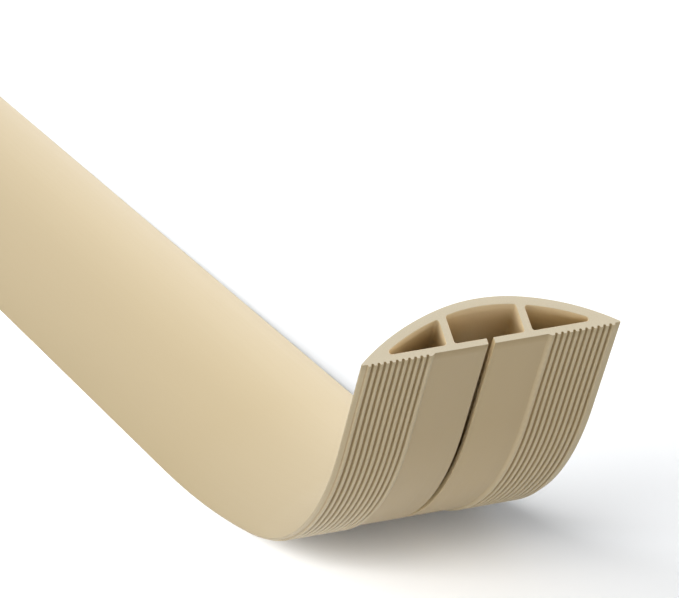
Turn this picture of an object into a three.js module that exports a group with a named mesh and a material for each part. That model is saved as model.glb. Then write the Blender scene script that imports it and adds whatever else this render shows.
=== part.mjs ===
// A floor cord cover: one length of flexible PVC, extruded in one piece.
// Its section has a low domed top, a flat underside with a ribbed band on each side, a wide
// middle channel and two side channels that taper to the edges. One slit runs along the middle
// of the underside, and cords are pressed up through it into the middle channel.
// Millimetres, +Z up. The strip lies along X on the tips of its ribs, and its +X end curls up.
// The origin is on the floor, under the middle of the whole piece.
import * as THREE from 'three';

// Section
const WIDTH = 65;
const HEIGHT = 13.75;
const CROWN_RADIUS = 40;
const EDGE_THICKNESS = 0.45;
const WALL = 2.4;
const BASE_THICKNESS = 1.8;
const WEB_THICKNESS = 2;
const MIDDLE_CHANNEL_WIDTH = 17.6;
const CHANNEL_CORNER_RADIUS = 0.7;
const SIDE_CHANNEL_NOSE_RADIUS = 0.7;
const SLIT_WIDTH = 1.6;
const SLIT_LIP_BEVEL = 0.2;

// Ribs of the underside
const RIB_HEIGHT = 0.6;
const RIB_PITCH = 1.525;
const RIB_ROOT_WIDTH = 1.15;
const RIB_TIP_WIDTH = 0.7;
const PLAIN_BAND_WIDTH = 28.2;
const BAND_SLOPE_WIDTH = 0.8;
const EDGE_MARGIN = 1.3;

// The way the strip lies: flat, then a gentle lift, then the curl, then a straight end
const LENGTH = 1000;
const LIFT_LENGTH = 88.3;
const LIFT_ANGLE = 8.55;
const CURL_RADIUS = 152;
const CURL_ANGLE = 38.5;
const END_LENGTH = 38.8;

// Fineness of the round stretches
const CROWN_STEPS = 6;
const FLANK_STEPS = 7;
const CEILING_STEPS = 5;
const CORNER_STEPS = 2;
const NOSE_STEPS = 4;
const LIFT_STEPS = 4;
const CURL_STEPS = 12;

const COVER_COLOUR = 0xd9ccb0;

// Levels and lines that the section is built on
const underside = RIB_HEIGHT;
const channelFloor = underside + BASE_THICKNESS;
const middleWall = MIDDLE_CHANNEL_WIDTH / 2;
const sideWall = middleWall + WEB_THICKNESS;
const edge = new THREE.Vector2(WIDTH / 2, underside + EDGE_THICKNESS);

// The top is a crown arc between the middles of the two webs, and on each side a flatter arc
// that leaves the crown without a kink and ends at the edge.
const crownCentre = new THREE.Vector2(0, HEIGHT - CROWN_RADIUS);
const joinAngle = Math.acos((middleWall + WEB_THICKNESS / 2) / CROWN_RADIUS);
const joinDirection = new THREE.Vector2(Math.cos(joinAngle), Math.sin(joinAngle));
const toEdge = edge.clone().sub(crownCentre);
const fromJoin = toEdge.clone().addScaledVector(joinDirection, -CROWN_RADIUS);
const flankRadius = fromJoin.lengthSq() / (2 * (CROWN_RADIUS - toEdge.dot(joinDirection)));
const flankCentre = crownCentre.clone().addScaledVector(joinDirection, CROWN_RADIUS - flankRadius);

// Points along an arc, both ends included
function arc(centre, radius, startAngle, endAngle, steps) {
  const points = [];
  for (let i = 0; i <= steps; i += 1) {
    const angle = startAngle + (endAngle - startAngle) * (i / steps);
    const x = centre.x + radius * Math.cos(angle);
    const y = centre.y + radius * Math.sin(angle);
    points.push(new THREE.Vector2(x, y));
  }
  return points;
}

function angleFrom(centre, point) {
  return Math.atan2(point.y - centre.y, point.x - centre.x);
}

// The same points on the other side of the middle, in the other order
function mirrored(points) {
  return points.map((point) => new THREE.Vector2(-point.x, point.y)).reverse();
}

function withoutRepeats(points) {
  const gap = 1e-6;
  return points.filter((point, i) => i === 0 || point.distanceTo(points[i - 1]) > gap);
}

// Centre of a rounded corner of the given radius, a channel's wall below an arc's ceiling
function cornerBelowArc(arcCentre, arcRadius, cornerRadius, x) {
  const reach = arcRadius - cornerRadius;
  const y = arcCentre.y + Math.sqrt(reach ** 2 - (x - arcCentre.x) ** 2);
  return new THREE.Vector2(x, y);
}

// One rib as seen along the strip, from its inner root to its outer root. The innermost rib
// comes down to its tip on a slope.
function rib(centre, innermost) {
  const innerRoot = innermost ? RIB_TIP_WIDTH / 2 + BAND_SLOPE_WIDTH : RIB_ROOT_WIDTH / 2;
  return [
    new THREE.Vector2(centre - innerRoot, underside),
    new THREE.Vector2(centre - RIB_TIP_WIDTH / 2, 0),
    new THREE.Vector2(centre + RIB_TIP_WIDTH / 2, 0),
    new THREE.Vector2(centre + RIB_ROOT_WIDTH / 2, underside),
  ];
}

// The outside of the right half, from the slit's lip along the ribs to the crown's top
function rightOutside() {
  const points = [new THREE.Vector2(SLIT_WIDTH / 2 + SLIT_LIP_BEVEL, underside)];
  const lastRib = WIDTH / 2 - EDGE_MARGIN - RIB_ROOT_WIDTH / 2;
  const firstRibAtLeast = PLAIN_BAND_WIDTH / 2 + BAND_SLOPE_WIDTH + RIB_TIP_WIDTH / 2;
  const ribCount = Math.floor((lastRib - firstRibAtLeast) / RIB_PITCH) + 1;
  for (let i = ribCount - 1; i >= 0; i -= 1) {
    points.push(...rib(lastRib - i * RIB_PITCH, i === ribCount - 1));
  }
  points.push(new THREE.Vector2(WIDTH / 2, underside));
  points.push(...arc(flankCentre, flankRadius, angleFrom(flankCentre, edge), joinAngle, FLANK_STEPS));
  points.push(...arc(crownCentre, CROWN_RADIUS, joinAngle, Math.PI / 2, CROWN_STEPS));
  return points;
}

// The right half of the middle channel, from the top of its ceiling to the slit
function rightOfMiddleChannel() {
  const ceilingRadius = CROWN_RADIUS - WALL;
  const cornerX = middleWall - CHANNEL_CORNER_RADIUS;
  const topCorner = cornerBelowArc(crownCentre, ceilingRadius, CHANNEL_CORNER_RADIUS, cornerX);
  const floorCorner = new THREE.Vector2(cornerX, channelFloor + CHANNEL_CORNER_RADIUS);
  const turn = angleFrom(crownCentre, topCorner);
  return [
    ...arc(crownCentre, ceilingRadius, Math.PI / 2, turn, CEILING_STEPS),
    ...arc(topCorner, CHANNEL_CORNER_RADIUS, turn, 0, CORNER_STEPS),
    ...arc(floorCorner, CHANNEL_CORNER_RADIUS, 0, -Math.PI / 2, CORNER_STEPS),
    new THREE.Vector2(SLIT_WIDTH / 2, channelFloor),
    new THREE.Vector2(SLIT_WIDTH / 2, underside + SLIT_LIP_BEVEL),
  ];
}

// The right side channel: floor, tapered nose, ceiling, and the wall that it shares with the web
function sideChannel() {
  const ceilingRadius = flankRadius - WALL;
  const cornerX = sideWall + CHANNEL_CORNER_RADIUS;
  const topCorner = cornerBelowArc(flankCentre, ceilingRadius, CHANNEL_CORNER_RADIUS, cornerX);
  const floorCorner = new THREE.Vector2(cornerX, channelFloor + CHANNEL_CORNER_RADIUS);
  const noseY = channelFloor + SIDE_CHANNEL_NOSE_RADIUS;
  const noseReach = ceilingRadius - SIDE_CHANNEL_NOSE_RADIUS;
  const noseX = flankCentre.x + Math.sqrt(noseReach ** 2 - (noseY - flankCentre.y) ** 2);
  const nose = new THREE.Vector2(noseX, noseY);
  const outerTurn = angleFrom(flankCentre, nose);
  const innerTurn = angleFrom(flankCentre, topCorner);
  return withoutRepeats([
    ...arc(floorCorner, CHANNEL_CORNER_RADIUS, Math.PI, Math.PI * 1.5, CORNER_STEPS),
    ...arc(nose, SIDE_CHANNEL_NOSE_RADIUS, -Math.PI / 2, outerTurn, NOSE_STEPS),
    ...arc(flankCentre, ceilingRadius, outerTurn, innerTurn, CEILING_STEPS),
    ...arc(topCorner, CHANNEL_CORNER_RADIUS, innerTurn, Math.PI, CORNER_STEPS),
  ]);
}

// The whole section, x across the strip and y up from the tips of the ribs
function section() {
  const outside = rightOutside();
  const middle = rightOfMiddleChannel();
  const outline = [...outside, ...mirrored(outside), ...mirrored(middle), ...middle];
  const shape = new THREE.Shape(withoutRepeats(outline));
  shape.holes.push(new THREE.Path(sideChannel()));
  shape.holes.push(new THREE.Path(mirrored(sideChannel())));
  return shape;
}

// The line that the rib tips follow, a list of places with the strip's slope at each.
// It begins at the cut end that lies flat.
function placesAlongStrip() {
  const liftAngle = THREE.MathUtils.degToRad(LIFT_ANGLE);
  const curlAngle = THREE.MathUtils.degToRad(CURL_ANGLE);
  const curlLength = CURL_RADIUS * curlAngle;
  const flatLength = LENGTH - LIFT_LENGTH - curlLength - END_LENGTH;
  const stretches = [
    { length: flatLength, turn: 0, steps: 1 },
    { length: LIFT_LENGTH, turn: liftAngle, steps: LIFT_STEPS },
    { length: curlLength, turn: curlAngle, steps: CURL_STEPS },
    { length: END_LENGTH, turn: 0, steps: 1 },
  ];
  const places = [{ x: 0, z: 0, slope: 0 }];
  for (const stretch of stretches) {
    const step = stretch.length / stretch.steps;
    const turn = stretch.turn / stretch.steps;
    // The chord of a short arc is a little shorter than the arc
    const chord = turn === 0 ? step : (2 * step * Math.sin(turn / 2)) / turn;
    for (let i = 0; i < stretch.steps; i += 1) {
      const last = places[places.length - 1];
      const heading = last.slope + turn / 2;
      const x = last.x + chord * Math.cos(heading);
      const z = last.z + chord * Math.sin(heading);
      places.push({ x, z, slope: last.slope + turn });
    }
  }
  return places;
}

// A path that stops exactly at its places, so that the long flat stretch is a single step.
// The section's x stays level across the strip, and its y stays square to the strip's run.
class StripPath extends THREE.Curve {
  constructor(places) {
    super();
    this.places = places;
  }

  getPoint(t, target = new THREE.Vector3()) {
    const place = this.places[Math.round(t * (this.places.length - 1))];
    return target.set(place.x, 0, place.z);
  }

  getPointAt(u, target) {
    return this.getPoint(u, target);
  }

  computeFrenetFrames() {
    const tangents = [];
    const normals = [];
    const binormals = [];
    for (const { slope } of this.places) {
      tangents.push(new THREE.Vector3(Math.cos(slope), 0, Math.sin(slope)));
      normals.push(new THREE.Vector3(0, 1, 0));
      binormals.push(new THREE.Vector3(-Math.sin(slope), 0, Math.cos(slope)));
    }
    return { tangents, normals, binormals };
  }
}

function coverGeometry() {
  const places = placesAlongStrip();
  const geometry = new THREE.ExtrudeGeometry(section(), {
    steps: places.length - 1,
    extrudePath: new StripPath(places),
  });
  geometry.computeBoundingBox();
  return geometry;
}

const material = new THREE.MeshStandardMaterial({
  color: COVER_COLOUR,
  roughness: 0.55,
  metalness: 0,
});
const cover = new THREE.Mesh(coverGeometry(), material);
cover.name = 'cord_cover';
cover.position.x = -cover.geometry.boundingBox.getCenter(new THREE.Vector3()).x;

const group = new THREE.Group();
group.add(cover);

export default group;
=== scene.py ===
import math

import bmesh
import bpy
from mathutils import Matrix, Vector


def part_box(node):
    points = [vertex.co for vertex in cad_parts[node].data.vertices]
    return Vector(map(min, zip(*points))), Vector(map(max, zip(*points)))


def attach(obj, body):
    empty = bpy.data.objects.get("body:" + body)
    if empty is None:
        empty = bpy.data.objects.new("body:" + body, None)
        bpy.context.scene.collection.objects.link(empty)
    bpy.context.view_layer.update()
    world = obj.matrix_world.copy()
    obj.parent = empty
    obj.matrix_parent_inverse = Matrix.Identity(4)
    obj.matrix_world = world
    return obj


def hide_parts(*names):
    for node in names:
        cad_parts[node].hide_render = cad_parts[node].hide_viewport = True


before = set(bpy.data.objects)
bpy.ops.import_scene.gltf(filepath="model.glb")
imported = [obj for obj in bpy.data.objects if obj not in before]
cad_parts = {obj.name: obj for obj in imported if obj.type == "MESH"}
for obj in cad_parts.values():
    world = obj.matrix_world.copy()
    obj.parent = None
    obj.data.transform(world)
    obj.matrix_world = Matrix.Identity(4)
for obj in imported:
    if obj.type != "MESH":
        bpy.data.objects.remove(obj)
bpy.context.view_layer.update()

# The cord cover
# One extrusion of flexible beige PVC. The die gives it a domed top, a flat underside with a
# ribbed band on each side, a middle channel with a slit under it and two side channels.
MM = 0.001
WIDTH = 65 * MM
HEIGHT = 13.75 * MM
CROWN_RADIUS = 40 * MM
EDGE_THICKNESS = 0.45 * MM
WALL = 2.4 * MM
BASE_THICKNESS = 1.8 * MM
WEB_THICKNESS = 2 * MM
MIDDLE_CHANNEL_WIDTH = 17.6 * MM
CHANNEL_CORNER_RADIUS = 0.7 * MM
SIDE_CHANNEL_NOSE_RADIUS = 0.7 * MM
SLIT_WIDTH = 1.6 * MM
SLIT_LIP_RADIUS = 0.2 * MM
RIB_HEIGHT = 0.6 * MM
RIB_PITCH = 1.525 * MM
RIB_ROOT_WIDTH = 1.15 * MM
RIB_TIP_WIDTH = 0.7 * MM
RIB_CORNER_RADIUS = 0.15 * MM
PLAIN_BAND_WIDTH = 28.2 * MM
BAND_SLOPE_WIDTH = 0.8 * MM
EDGE_MARGIN = 1.3 * MM
EDGE_CORNER_RADIUS = 0.15 * MM
CUT_CHAMFER = 0.12 * MM
# Corners of the outline that lie nearer than this are one corner
SAME_POINT = 0.001 * MM

# It rests flat on its rib tips. Near the +X end it lifts gently off the floor, then curls up on
# a tight bend, and its last centimetres stand straight out of the bend.
LENGTH = 1000 * MM
LIFT_LENGTH = 88.3 * MM
LIFT_ANGLE = math.radians(8.55)
CURL_RADIUS = 152 * MM
CURL_ANGLE = math.radians(38.5)
END_LENGTH = 38.8 * MM
CURL_LENGTH = CURL_RADIUS * CURL_ANGLE
FLAT_LENGTH = LENGTH - LIFT_LENGTH - CURL_LENGTH - END_LENGTH
FLAT_STEPS = 16
BENT_STEPS = 72
flat_end_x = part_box("cord_cover")[0][0]
lift_start = Vector((flat_end_x + FLAT_LENGTH, 0, 0))

channel_floor = RIB_HEIGHT + BASE_THICKNESS
middle_wall = MIDDLE_CHANNEL_WIDTH / 2
side_wall = middle_wall + WEB_THICKNESS
edge = Vector((WIDTH / 2, RIB_HEIGHT + EDGE_THICKNESS))
crown_centre = Vector((0, HEIGHT - CROWN_RADIUS))
join_angle = math.acos((middle_wall + WEB_THICKNESS / 2) / CROWN_RADIUS)
join_direction = Vector((math.cos(join_angle), math.sin(join_angle)))
to_edge = edge - crown_centre
from_join = to_edge - join_direction * CROWN_RADIUS
flank_radius = from_join.length_squared / (2 * (CROWN_RADIUS - to_edge.dot(join_direction)))
flank_centre = crown_centre + join_direction * (CROWN_RADIUS - flank_radius)


def arc(centre, radius, start, end, steps):
    angles = [start + (end - start) * i / steps for i in range(steps + 1)]
    return [centre + radius * Vector((math.cos(a), math.sin(a))) for a in angles]


def angle_from(centre, point):
    return math.atan2(point.y - centre.y, point.x - centre.x)


def corner_below_arc(arc_centre, arc_radius, corner_radius, x):
    reach = arc_radius - corner_radius
    return Vector((x, arc_centre.y + math.sqrt(reach ** 2 - (x - arc_centre.x) ** 2)))


def rounded(before, corner, after, radius, steps=3):
    """The corner between two straight lines, as a short arc that touches both."""
    incoming = (before - corner).normalized()
    outgoing = (after - corner).normalized()
    half = incoming.angle(outgoing) / 2
    centre = corner + (incoming + outgoing).normalized() * radius / math.sin(half)
    start = angle_from(centre, corner + incoming * radius / math.tan(half))
    turn = math.pi - 2 * half
    if incoming.cross(outgoing) > 0:
        turn = -turn
    return arc(centre, radius, start, start + turn, steps)


def rib(middle, innermost):
    root = RIB_ROOT_WIDTH / 2
    tip = RIB_TIP_WIDTH / 2
    inner_root = tip + BAND_SLOPE_WIDTH if innermost else root
    corners = [
        Vector((middle - inner_root - tip, RIB_HEIGHT)),
        Vector((middle - inner_root, RIB_HEIGHT)),
        Vector((middle - tip, 0)),
        Vector((middle + tip, 0)),
        Vector((middle + root, RIB_HEIGHT)),
        Vector((middle + root + tip, RIB_HEIGHT)),
    ]
    points = []
    for i in range(1, len(corners) - 1):
        points += rounded(*corners[i - 1:i + 2], RIB_CORNER_RADIUS)
    return points


def right_outside():
    lip = Vector((SLIT_WIDTH / 2, RIB_HEIGHT))
    points = rounded(lip + Vector((0, WALL)), lip, lip + Vector((WALL, 0)), SLIT_LIP_RADIUS)
    last_rib = WIDTH / 2 - EDGE_MARGIN - RIB_ROOT_WIDTH / 2
    first_rib_at_least = PLAIN_BAND_WIDTH / 2 + BAND_SLOPE_WIDTH + RIB_TIP_WIDTH / 2
    rib_count = math.floor((last_rib - first_rib_at_least) / RIB_PITCH) + 1
    for i in reversed(range(rib_count)):
        points += rib(last_rib - i * RIB_PITCH, innermost=i == rib_count - 1)
    flank = arc(flank_centre, flank_radius, angle_from(flank_centre, edge), join_angle, 30)
    below_edge = Vector((WIDTH / 2, RIB_HEIGHT))
    points += rounded(below_edge - Vector((WALL, 0)), below_edge, edge, EDGE_CORNER_RADIUS)
    points += rounded(below_edge, edge, flank[1], EDGE_CORNER_RADIUS)
    points += flank[1:]
    points += arc(crown_centre, CROWN_RADIUS, join_angle, math.pi / 2, 12)
    return points


def right_of_middle_channel():
    ceiling_radius = CROWN_RADIUS - WALL
    corner_x = middle_wall - CHANNEL_CORNER_RADIUS
    top = corner_below_arc(crown_centre, ceiling_radius, CHANNEL_CORNER_RADIUS, corner_x)
    floor_corner = Vector((corner_x, channel_floor + CHANNEL_CORNER_RADIUS))
    turn = angle_from(crown_centre, top)
    lip = Vector((SLIT_WIDTH / 2, channel_floor))
    points = arc(crown_centre, ceiling_radius, math.pi / 2, turn, 10)
    points += arc(top, CHANNEL_CORNER_RADIUS, turn, 0, 5)
    points += arc(floor_corner, CHANNEL_CORNER_RADIUS, 0, -math.pi / 2, 5)
    points += rounded(lip + Vector((WALL, 0)), lip, lip - Vector((0, WALL)), SLIT_LIP_RADIUS)
    return points


def side_channel():
    ceiling_radius = flank_radius - WALL
    corner_x = side_wall + CHANNEL_CORNER_RADIUS
    top = corner_below_arc(flank_centre, ceiling_radius, CHANNEL_CORNER_RADIUS, corner_x)
    floor_corner = Vector((corner_x, channel_floor + CHANNEL_CORNER_RADIUS))
    nose_y = channel_floor + SIDE_CHANNEL_NOSE_RADIUS
    nose_reach = ceiling_radius - SIDE_CHANNEL_NOSE_RADIUS
    nose_x = flank_centre.x + math.sqrt(nose_reach ** 2 - (nose_y - flank_centre.y) ** 2)
    nose = Vector((nose_x, nose_y))
    outer_turn = angle_from(flank_centre, nose)
    inner_turn = angle_from(flank_centre, top)
    points = arc(floor_corner, CHANNEL_CORNER_RADIUS, math.pi, math.pi * 1.5, 5)
    points += arc(nose, SIDE_CHANNEL_NOSE_RADIUS, -math.pi / 2, outer_turn, 10)
    points += arc(flank_centre, ceiling_radius, outer_turn, inner_turn, 16)
    points += arc(top, CHANNEL_CORNER_RADIUS, inner_turn, math.pi, 5)
    return points


def mirrored(points):
    return [Vector((-p.x, p.y)) for p in reversed(points)]


def without_repeats(loop):
    return [p for i, p in enumerate(loop) if (p - loop[i - 1]).length > SAME_POINT]


outside = right_outside()
middle = right_of_middle_channel()
section_loops = [
    without_repeats(outside + mirrored(outside) + mirrored(middle) + middle),
    without_repeats(side_channel()),
    without_repeats(mirrored(side_channel())),
]


def area(loop):
    return sum(loop[i - 1].cross(p) for i, p in enumerate(loop)) / 2


def insets(loop, depth):
    """For each corner, the step into the PVC that moves both its edges in by the depth."""
    steps = []
    for i, p in enumerate(loop):
        before = (p - loop[i - 1]).orthogonal().normalized()
        after = (loop[(i + 1) % len(loop)] - p).orthogonal().normalized()
        steps.append((before + after) * depth / (1 + before.dot(after)))
    return steps


# The die's outline as closed loops of edges, x across the strip and y up from the rib tips.
# Each corner also keeps its step inwards, which chamfers the two cut ends, and whether it lies
# in a channel.
section_mesh = bpy.data.meshes.new("die_outline")
section_points = []
section_edges = []
section_insets = []
channel_marks = []
for number, loop in enumerate(section_loops):
    first = len(section_points)
    section_points += [(p.x, p.y, 0) for p in loop]
    section_edges += [(first + i, first + (i + 1) % len(loop)) for i in range(len(loop))]
    runs_left = area(loop) > 0
    is_hole = number > 0
    inwards = CUT_CHAMFER if runs_left != is_hole else -CUT_CHAMFER
    section_insets += insets(loop, inwards)
    for p in loop:
        at_its_height = channel_floor - SAME_POINT < p.y < HEIGHT - WALL + SAME_POINT
        in_middle_channel = at_its_height and abs(p.x) < middle_wall + SAME_POINT
        channel_marks.append(float(is_hole or in_middle_channel))
section_mesh.from_pydata(section_points, section_edges, [])
inset_attribute = section_mesh.attributes.new("inset", "FLOAT_VECTOR", "POINT")
for value, step in zip(inset_attribute.data, section_insets):
    value.vector = (step.x, step.y, 0)
channel_attribute = section_mesh.attributes.new("in_channel", "FLOAT", "POINT")
channel_attribute.data.foreach_set("value", channel_marks)
strip = bpy.data.objects.new("cord_cover_pvc", section_mesh)
bpy.context.scene.collection.objects.link(strip)


class Wire:
    """A socket of a node tree: arithmetic adds its Math nodes, node() adds any other node."""

    def __init__(self, tree, socket=None):
        self.tree = tree
        self.socket = socket

    def node(self, kind, settings=None, inputs=None, output=0):
        made = self.tree.nodes.new(kind)
        for name, value in (settings or {}).items():
            setattr(made, name, value)
        for name, value in (inputs or {}).items():
            if isinstance(value, Wire):
                self.tree.links.new(value.socket, made.inputs[name])
            else:
                made.inputs[name].default_value = value
        return Wire(self.tree, made.outputs[output])

    def math(self, operation, *others, clamp=False):
        settings = {"operation": operation, "use_clamp": clamp}
        values = dict(enumerate((self, *others)))
        return self.node("ShaderNodeMath", settings, values)

    def __add__(self, other):
        return self.math("ADD", other)

    def __sub__(self, other):
        return self.math("SUBTRACT", other)

    def __mul__(self, other):
        return self.math("MULTIPLY", other)

    def __truediv__(self, other):
        return self.math("DIVIDE", other)

    def __rsub__(self, other):
        return self.math("MULTIPLY", -1).math("ADD", other)

    __radd__ = __add__
    __rmul__ = __mul__

    def axes(self):
        """The X, Y and Z of a vector."""
        split = self.node("ShaderNodeSeparateXYZ", {}, {"Vector": self})
        return [Wire(self.tree, socket) for socket in split.socket.node.outputs]

    def share(self, start, length):
        """How much of a stretch lies behind this place, from 0 to 1."""
        return ((self - start) / length).math("ADD", 0, clamp=True)


# The extruder and the lie: the outline is swept straight along X, its two cut ends are closed,
# each point keeps its place in the straight strip, and then the strip is bent onto its line.
lay = bpy.data.node_groups.new("extrude_and_lay", "GeometryNodeTree")
lay.interface.new_socket("Outline", in_out="INPUT", socket_type="NodeSocketGeometry")
lay.interface.new_socket("Strip", in_out="OUTPUT", socket_type="NodeSocketGeometry")
lay_sizes = {
    "Flat length": FLAT_LENGTH,
    "Lift length": LIFT_LENGTH,
    "Lift angle": LIFT_ANGLE,
    "Curl length": CURL_LENGTH,
    "Curl angle": CURL_ANGLE,
    "End length": END_LENGTH,
    "Cut chamfer": CUT_CHAMFER,
    "Flat end": flat_end_x,
}
for name in lay_sizes:
    lay.interface.new_socket(name, in_out="INPUT", socket_type="NodeSocketFloat")
lay_counts = {"Flat steps": FLAT_STEPS, "Bent steps": BENT_STEPS}
for name in lay_counts:
    lay.interface.new_socket(name, in_out="INPUT", socket_type="NodeSocketInt")
lay.interface.new_socket("Finish", in_out="INPUT", socket_type="NodeSocketMaterial")
group_input = lay.nodes.new("NodeGroupInput")
given = {socket.name: Wire(lay, socket) for socket in group_input.outputs if socket.name}
start = Wire(lay)

flat_length = given["Flat length"]
lift_length = given["Lift length"]
curl_length = given["Curl length"]
bent_length = lift_length + curl_length + given["End length"]
whole_length = flat_length + bent_length
chamfer = given["Cut chamfer"]
flat_steps = given["Flat steps"]
bent_steps = given["Bent steps"]
ring = start.node("GeometryNodeInputIndex")
last_ring = flat_steps + bent_steps + 2
step = ring - 1
along = (step / flat_steps).math("MINIMUM", 1) * flat_length
along = along + (step - flat_steps).math("MAXIMUM", 0) / bent_steps * bent_length
along = along.math("MAXIMUM", chamfer * ring.math("GREATER_THAN", 0.5))
past_chamfer = chamfer * ring.math("LESS_THAN", last_ring - 0.5)
along = along.math("MINIMUM", whole_length - past_chamfer)
line = start.node("GeometryNodeMeshLine", {}, {"Count": last_ring + 1})
place = start.node("ShaderNodeCombineXYZ", {}, {"X": along})
line = start.node("GeometryNodeSetPosition", {}, {"Geometry": line, "Position": place})
line = start.node("GeometryNodeMeshToCurve", {}, {"Mesh": line})
line = start.node("GeometryNodeSetCurveNormal", {"mode": "Z_UP"}, {"Curve": line})
line = start.node("GeometryNodeSetCurveTilt", {}, {"Curve": line, "Tilt": math.pi})
outline = start.node("GeometryNodeMeshToCurve", {}, {"Mesh": given["Outline"]})
walls = start.node("GeometryNodeCurveToMesh", {}, {"Curve": line, "Profile Curve": outline})

vector = {"data_type": "FLOAT_VECTOR"}
inset = start.node("GeometryNodeInputNamedAttribute", vector, {"Name": "inset"})
inset_across, inset_above = inset.axes()[:2]
along, across, above = start.node("GeometryNodeInputPosition").axes()
at_cut = along.math("LESS_THAN", chamfer / 2)
at_cut = at_cut + along.math("GREATER_THAN", whole_length - chamfer / 2)
moved = {"Y": inset_across * at_cut, "Z": inset_above * at_cut}
moved = {"Geometry": walls, "Offset": start.node("ShaderNodeCombineXYZ", {}, moved)}
walls = start.node("GeometryNodeSetPosition", {}, moved)

cut = start.node("GeometryNodeSetPosition", {}, {"Geometry": outline, "Offset": inset})
cut = start.node("GeometryNodeFillCurve", {}, {"Curve": cut})
upright = (math.pi / 2, 0, math.pi / 2)
flat_cut = start.node("GeometryNodeTransform", {}, {"Geometry": cut, "Rotation": upright})
far = start.node("ShaderNodeCombineXYZ", {}, {"X": whole_length})
far_cut = {"Geometry": cut, "Rotation": upright, "Translation": far}
far_cut = start.node("GeometryNodeTransform", {}, far_cut)
joined = lay.nodes.new("GeometryNodeJoinGeometry")
for piece in (walls, flat_cut, far_cut):
    lay.links.new(piece.socket, joined.inputs[0])
weld = {"Geometry": Wire(lay, joined.outputs[0]), "Distance": 2 * SAME_POINT}
straight = start.node("GeometryNodeMergeByDistance", {}, weld)

position = start.node("GeometryNodeInputPosition")
keep = {"Geometry": straight, "Name": "straight_place", "Value": position}
straight = start.node("GeometryNodeStoreNamedAttribute", vector, keep)
along, across, above = position.axes()
lift = along.share(flat_length, lift_length) * given["Lift angle"]
curl = along.share(flat_length + lift_length, curl_length) * given["Curl angle"]
slope = lift + curl
lift_radius = lift_length / given["Lift angle"]
curl_radius = curl_length / given["Curl angle"]
ahead = along.math("MINIMUM", flat_length)
ahead = ahead + lift_radius * lift.math("SINE")
ahead = ahead + curl_radius * (slope.math("SINE") - lift.math("SINE"))
height = lift_radius * (1 - lift.math("COSINE"))
height = height + curl_radius * (lift.math("COSINE") - slope.math("COSINE"))
beyond = (along - flat_length - lift_length - curl_length).math("MAXIMUM", 0)
ahead = ahead + beyond * slope.math("COSINE") - above * slope.math("SINE") + given["Flat end"]
height = height + beyond * slope.math("SINE") + above * slope.math("COSINE")
bent = start.node("ShaderNodeCombineXYZ", {}, {"X": ahead, "Y": across, "Z": height})
laid = start.node("GeometryNodeSetPosition", {}, {"Geometry": straight, "Position": bent})
laid = start.node("GeometryNodeRealizeInstances", {}, {"Geometry": laid})
laid = start.node("GeometryNodeSetMaterial", {}, {"Geometry": laid, "Material": given["Finish"]})
lay.links.new(laid.socket, lay.nodes.new("NodeGroupOutput").inputs[0])

# The PVC itself: the pigment is a little cloudy, the die leaves fine lines along the strip and a
# silky skin with a faint grain, and the saw leaves the two cut ends pale, matt and sandy. In the
# channels the skin is duller, and painted paler as painted light for the light that reaches in.
SHEEN = 0.38
SKIN_ROUGHNESS = 0.36
EXTRA_CHANNEL_ROUGHNESS = 0.2
EXTRA_CUT_ROUGHNESS = 0.2
RELIEF_DEPTH = 0.006 * MM
PLAIN_BAND_PAINTED_SHADE = 0.4
EXTRA_GROOVE_PAINTED_SHADE = 0.4
pvc = bpy.data.materials.new("beige_pvc")
pvc.use_nodes = True
shader = pvc.node_tree.nodes["Principled BSDF"]
look = Wire(pvc.node_tree)
place = look.node("ShaderNodeAttribute", {"attribute_name": "straight_place"}, output="Vector")
along, across, above = place.axes()


def noise(stretch, detail=2):
    """Noise on the straight strip, with this many features a metre along, across and above."""
    spread = look.node("ShaderNodeVectorMath", {"operation": "MULTIPLY"}, {0: place, 1: stretch})
    return look.node("ShaderNodeTexNoise", {}, {"Vector": spread, "Scale": 1, "Detail": detail})


def mixed(factor, first, second):
    inputs = {0: factor, 6: first, 7: second}
    return look.node("ShaderNodeMix", {"data_type": "RGBA"}, inputs, output=2)


pigment_dark = (0.338, 0.266, 0.15, 1)
pigment_light = (0.363, 0.289, 0.169, 1)
painted_channel_light = (0.59, 0.465, 0.285, 1)
painted_shade = (0.175, 0.095, 0.006, 1)
painted_slit_light = (0.46, 0.355, 0.2, 1)
cut_dark = (0.33, 0.284, 0.2, 1)
cut_light = (0.417, 0.364, 0.268, 1)
clouds = noise((9, 45, 45), detail=3)
die_lines = noise((5, 1700, 1700))
skin_grain = noise((2600, 2600, 2600))
saw_grain = noise((3200, 3200, 3200), detail=3)
saw_lines = noise((900, 160, 1500))
on_cut = along.math("LESS_THAN", CUT_CHAMFER / 4)
on_cut = on_cut + along.math("GREATER_THAN", LENGTH - CUT_CHAMFER / 4)

in_channel = look.node("ShaderNodeAttribute", {"attribute_name": "in_channel"}, output="Fac")
skin_colour = mixed(clouds * 0.7 + die_lines * 0.3, pigment_dark, pigment_light)
# Painted light: the walls of the channels are painted paler than the skin.
skin_colour = mixed(in_channel, skin_colour, painted_channel_light)
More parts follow.
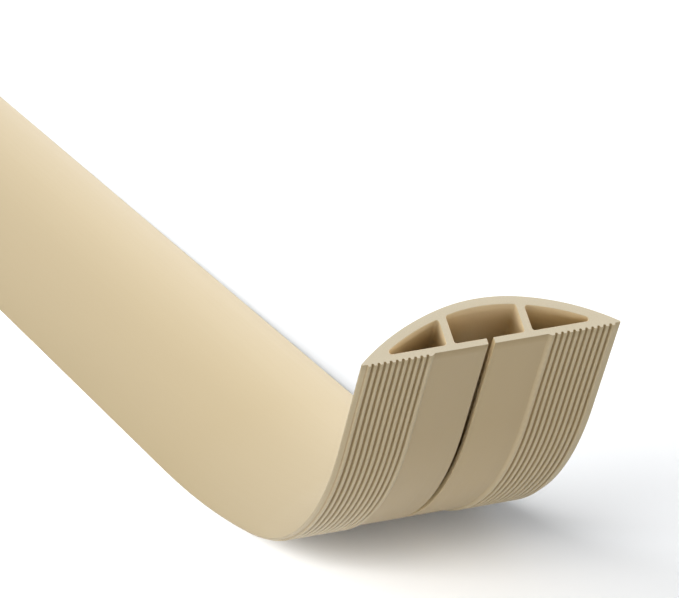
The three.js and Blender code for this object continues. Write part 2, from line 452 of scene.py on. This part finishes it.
# Painted shade: the grooves between the ribs, and a little of the plain band, are painted
# darker. The walls of the slit are painted paler than the skin, as painted light.
from_middle = across.math("ABSOLUTE")
first_rib = PLAIN_BAND_WIDTH / 2 + BAND_SLOPE_WIDTH
recessed = above.share(RIB_HEIGHT * 0.2, RIB_HEIGHT) * above.math("LESS_THAN", RIB_HEIGHT * 1.2)
recessed = recessed * from_middle.math("LESS_THAN", WIDTH / 2 - EDGE_MARGIN)
among_ribs = from_middle.share(first_rib, RIB_TIP_WIDTH)
painted_shade_share = recessed * (PLAIN_BAND_PAINTED_SHADE + among_ribs * EXTRA_GROOVE_PAINTED_SHADE)
# Painted shade: the recessed underside is darkened towards a shade colour, most among the ribs.
skin_colour = mixed(painted_shade_share, skin_colour, painted_shade)
# Painted light: the walls of the slit are painted paler than the skin.
in_slit = from_middle.math("LESS_THAN", SLIT_WIDTH / 2 + SLIT_LIP_RADIUS / 4)
in_slit = in_slit * above.math("GREATER_THAN", RIB_HEIGHT + SLIT_LIP_RADIUS / 2)
in_slit = in_slit * above.math("LESS_THAN", channel_floor)
skin_colour = mixed(in_slit, skin_colour, painted_slit_light)
cut_colour = mixed(saw_grain, cut_dark, cut_light)
colour = mixed(on_cut, skin_colour, cut_colour)
skin_height = die_lines * 0.55 + skin_grain * 0.45
cut_height = saw_grain * 2.2 + saw_lines * 1.4
height = skin_height + on_cut * (cut_height - skin_height)
relief = {"Strength": 1, "Distance": RELIEF_DEPTH, "Height": height}
relief = look.node("ShaderNodeBump", {}, relief)
roughness = SKIN_ROUGHNESS + clouds * 0.08 + die_lines * 0.06
roughness = roughness + in_channel * EXTRA_CHANNEL_ROUGHNESS
roughness = roughness + on_cut * (EXTRA_CUT_ROUGHNESS + saw_grain * 0.15)
shader.inputs["Specular IOR Level"].default_value = SHEEN
for socket, wire in (("Base Color", colour), ("Roughness", roughness), ("Normal", relief)):
    look.tree.links.new(wire.socket, shader.inputs[socket])

modifier = strip.modifiers.new("extrude and lay", "NODES")
modifier.node_group = lay
lay_inputs = {**lay_sizes, **lay_counts, "Finish": pvc}
for socket in lay.interface.items_tree:
    if socket.name in lay_inputs:
        modifier[socket.identifier] = lay_inputs[socket.name]
evaluated = strip.evaluated_get(bpy.context.evaluated_depsgraph_get())
strip_mesh = bpy.data.meshes.new_from_object(evaluated)
strip.modifiers.clear()
strip.data = strip_mesh
shape = bmesh.new()
shape.from_mesh(strip_mesh)
bmesh.ops.recalc_face_normals(shape, faces=shape.faces)
shape.to_mesh(strip_mesh)
shape.free()
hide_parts("cord_cover")
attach(strip, "root")

# The floor
# A plain white studio floor, far wider than the strip, so that no edge of it shows.
REACH = 4
floor_corners = [(-REACH, -REACH, 0), (REACH, -REACH, 0), (REACH, REACH, 0), (-REACH, REACH, 0)]
floor_mesh = bpy.data.meshes.new("floor")
floor_mesh.from_pydata(floor_corners, [], [(0, 1, 2, 3)])
floor = bpy.data.objects.new("floor", floor_mesh)
bpy.context.scene.collection.objects.link(floor)
white = bpy.data.materials.new("white_floor")
white.use_nodes = True
paint = white.node_tree.nodes["Principled BSDF"]
paint.inputs["Base Color"].default_value = (0.885, 0.9, 0.915, 1)
floor_mesh.materials.append(white)

# The camera
# It looks down on the curled end from the +X side, with the strip running away to the left. Its
# place is worked out from where the strip's lines meet the picture's, in a 679 x 598 frame.
PICTURE_WIDTH = 679
PICTURE_HEIGHT = 598
CAMERA_AZIMUTH = math.radians(-15.8286)
CAMERA_ELEVATION = math.radians(15.8144)
CAMERA_ROLL = math.radians(-5.0561)
CAMERA_DISTANCE = 1.69958
FOCAL_PIXELS = 6276.25
SENSOR_WIDTH = 36
LIFT_START_PIXEL = (278.3648, 451.5599)

camera_back = Vector((
    math.cos(CAMERA_AZIMUTH) * math.cos(CAMERA_ELEVATION),
    math.sin(CAMERA_AZIMUTH) * math.cos(CAMERA_ELEVATION),
    math.sin(CAMERA_ELEVATION),
))
level_right = Vector((-math.sin(CAMERA_AZIMUTH), math.cos(CAMERA_AZIMUTH), 0))
level_up = camera_back.cross(level_right)
camera_right = level_right * math.cos(CAMERA_ROLL) + level_up * math.sin(CAMERA_ROLL)
camera_up = camera_back.cross(camera_right)
metres_per_pixel = CAMERA_DISTANCE / FOCAL_PIXELS
aim_right = (LIFT_START_PIXEL[0] - PICTURE_WIDTH / 2) * metres_per_pixel
aim_down = (LIFT_START_PIXEL[1] - PICTURE_HEIGHT / 2) * metres_per_pixel
camera_data = bpy.data.cameras.new("camera")
camera_data.sensor_width = SENSOR_WIDTH
camera_data.lens = FOCAL_PIXELS * SENSOR_WIDTH / PICTURE_WIDTH
camera = bpy.data.objects.new("camera", camera_data)
camera_turn = Matrix((camera_right, camera_up, camera_back)).transposed()
camera.rotation_euler = camera_turn.to_euler()
camera.location = (
    lift_start
    + camera_back * CAMERA_DISTANCE
    - camera_right * aim_right
    + camera_up * aim_down
)
bpy.context.scene.collection.objects.link(camera)
bpy.context.scene.camera = camera

# Studio light
# The strip and the floor have their own softboxes. The strip's are above it, behind it and on its
# two sides, so its dome shines and its underside is left to the floor's glow. The floor's are
# wide and far off to the left of the camera, so the curl's shadow is soft and runs to the right.
# The picture keeps its whites: the floor burns out.
bpy.context.scene.view_settings.view_transform = "Standard"


def softbox(name, place, size, power, lit):
    light = bpy.data.lights.new(name, "AREA")
    light.shape = "RECTANGLE"
    light.size, light.size_y = size
    light.energy = power
    lamp = bpy.data.objects.new(name, light)
    lamp.location = lift_start + Vector(place)
    lamp.rotation_euler = (-Vector(place)).to_track_quat("-Z", "Y").to_euler()
    bpy.context.scene.collection.objects.link(lamp)
    receivers = bpy.data.collections.new("lit_by_" + name)
    receivers.objects.link(lit)
    lamp.light_linking.receiver_collection = receivers


softbox("backdrop", (-2.2, 0.9, 0.5), (3.2, 1.2), 11, strip)
softbox("overhead", (0.0, 0.0, 1.6), (2.0, 2.0), 55.5, strip)
softbox("far_side", (0.2, 1.5, 0.8), (1.6, 1.0), 25, strip)
softbox("near_low", (0.37, -1.45, 0.12), (1.0, 0.22), 7.6, strip)
softbox("floor_left", (-2.72, -7.47, 4.23), (7, 4.5), 590, floor)
softbox("floor_key", (5.36, -6.39, 3.37), (8, 4.5), 1980, floor)

# A wide cone without shadows keeps the floor behind the strip white and ends short of the curl
fill_light = bpy.data.lights.new("floor_fill", "SPOT")
fill_light.energy = 450
fill_light.spot_size = math.radians(44)
fill_light.spot_blend = 0.3
fill_light.shadow_soft_size = 0.3
fill = bpy.data.objects.new("floor_fill", fill_light)
fill.location = lift_start + Vector((-1.3, 0.3, 3.2))
bpy.context.scene.collection.objects.link(fill)
floor_only = bpy.data.collections.new("floor_only")
floor_only.objects.link(floor)
fill.light_linking.receiver_collection = floor_only
fill.light_linking.blocker_collection = floor_only

world = bpy.data.worlds.new("studio")
world.use_nodes = True
room = world.node_tree.nodes["Background"]
room.inputs["Color"].default_value = (1, 1, 1, 1)
room.inputs["Strength"].default_value = 0.2
bpy.context.scene.world = world
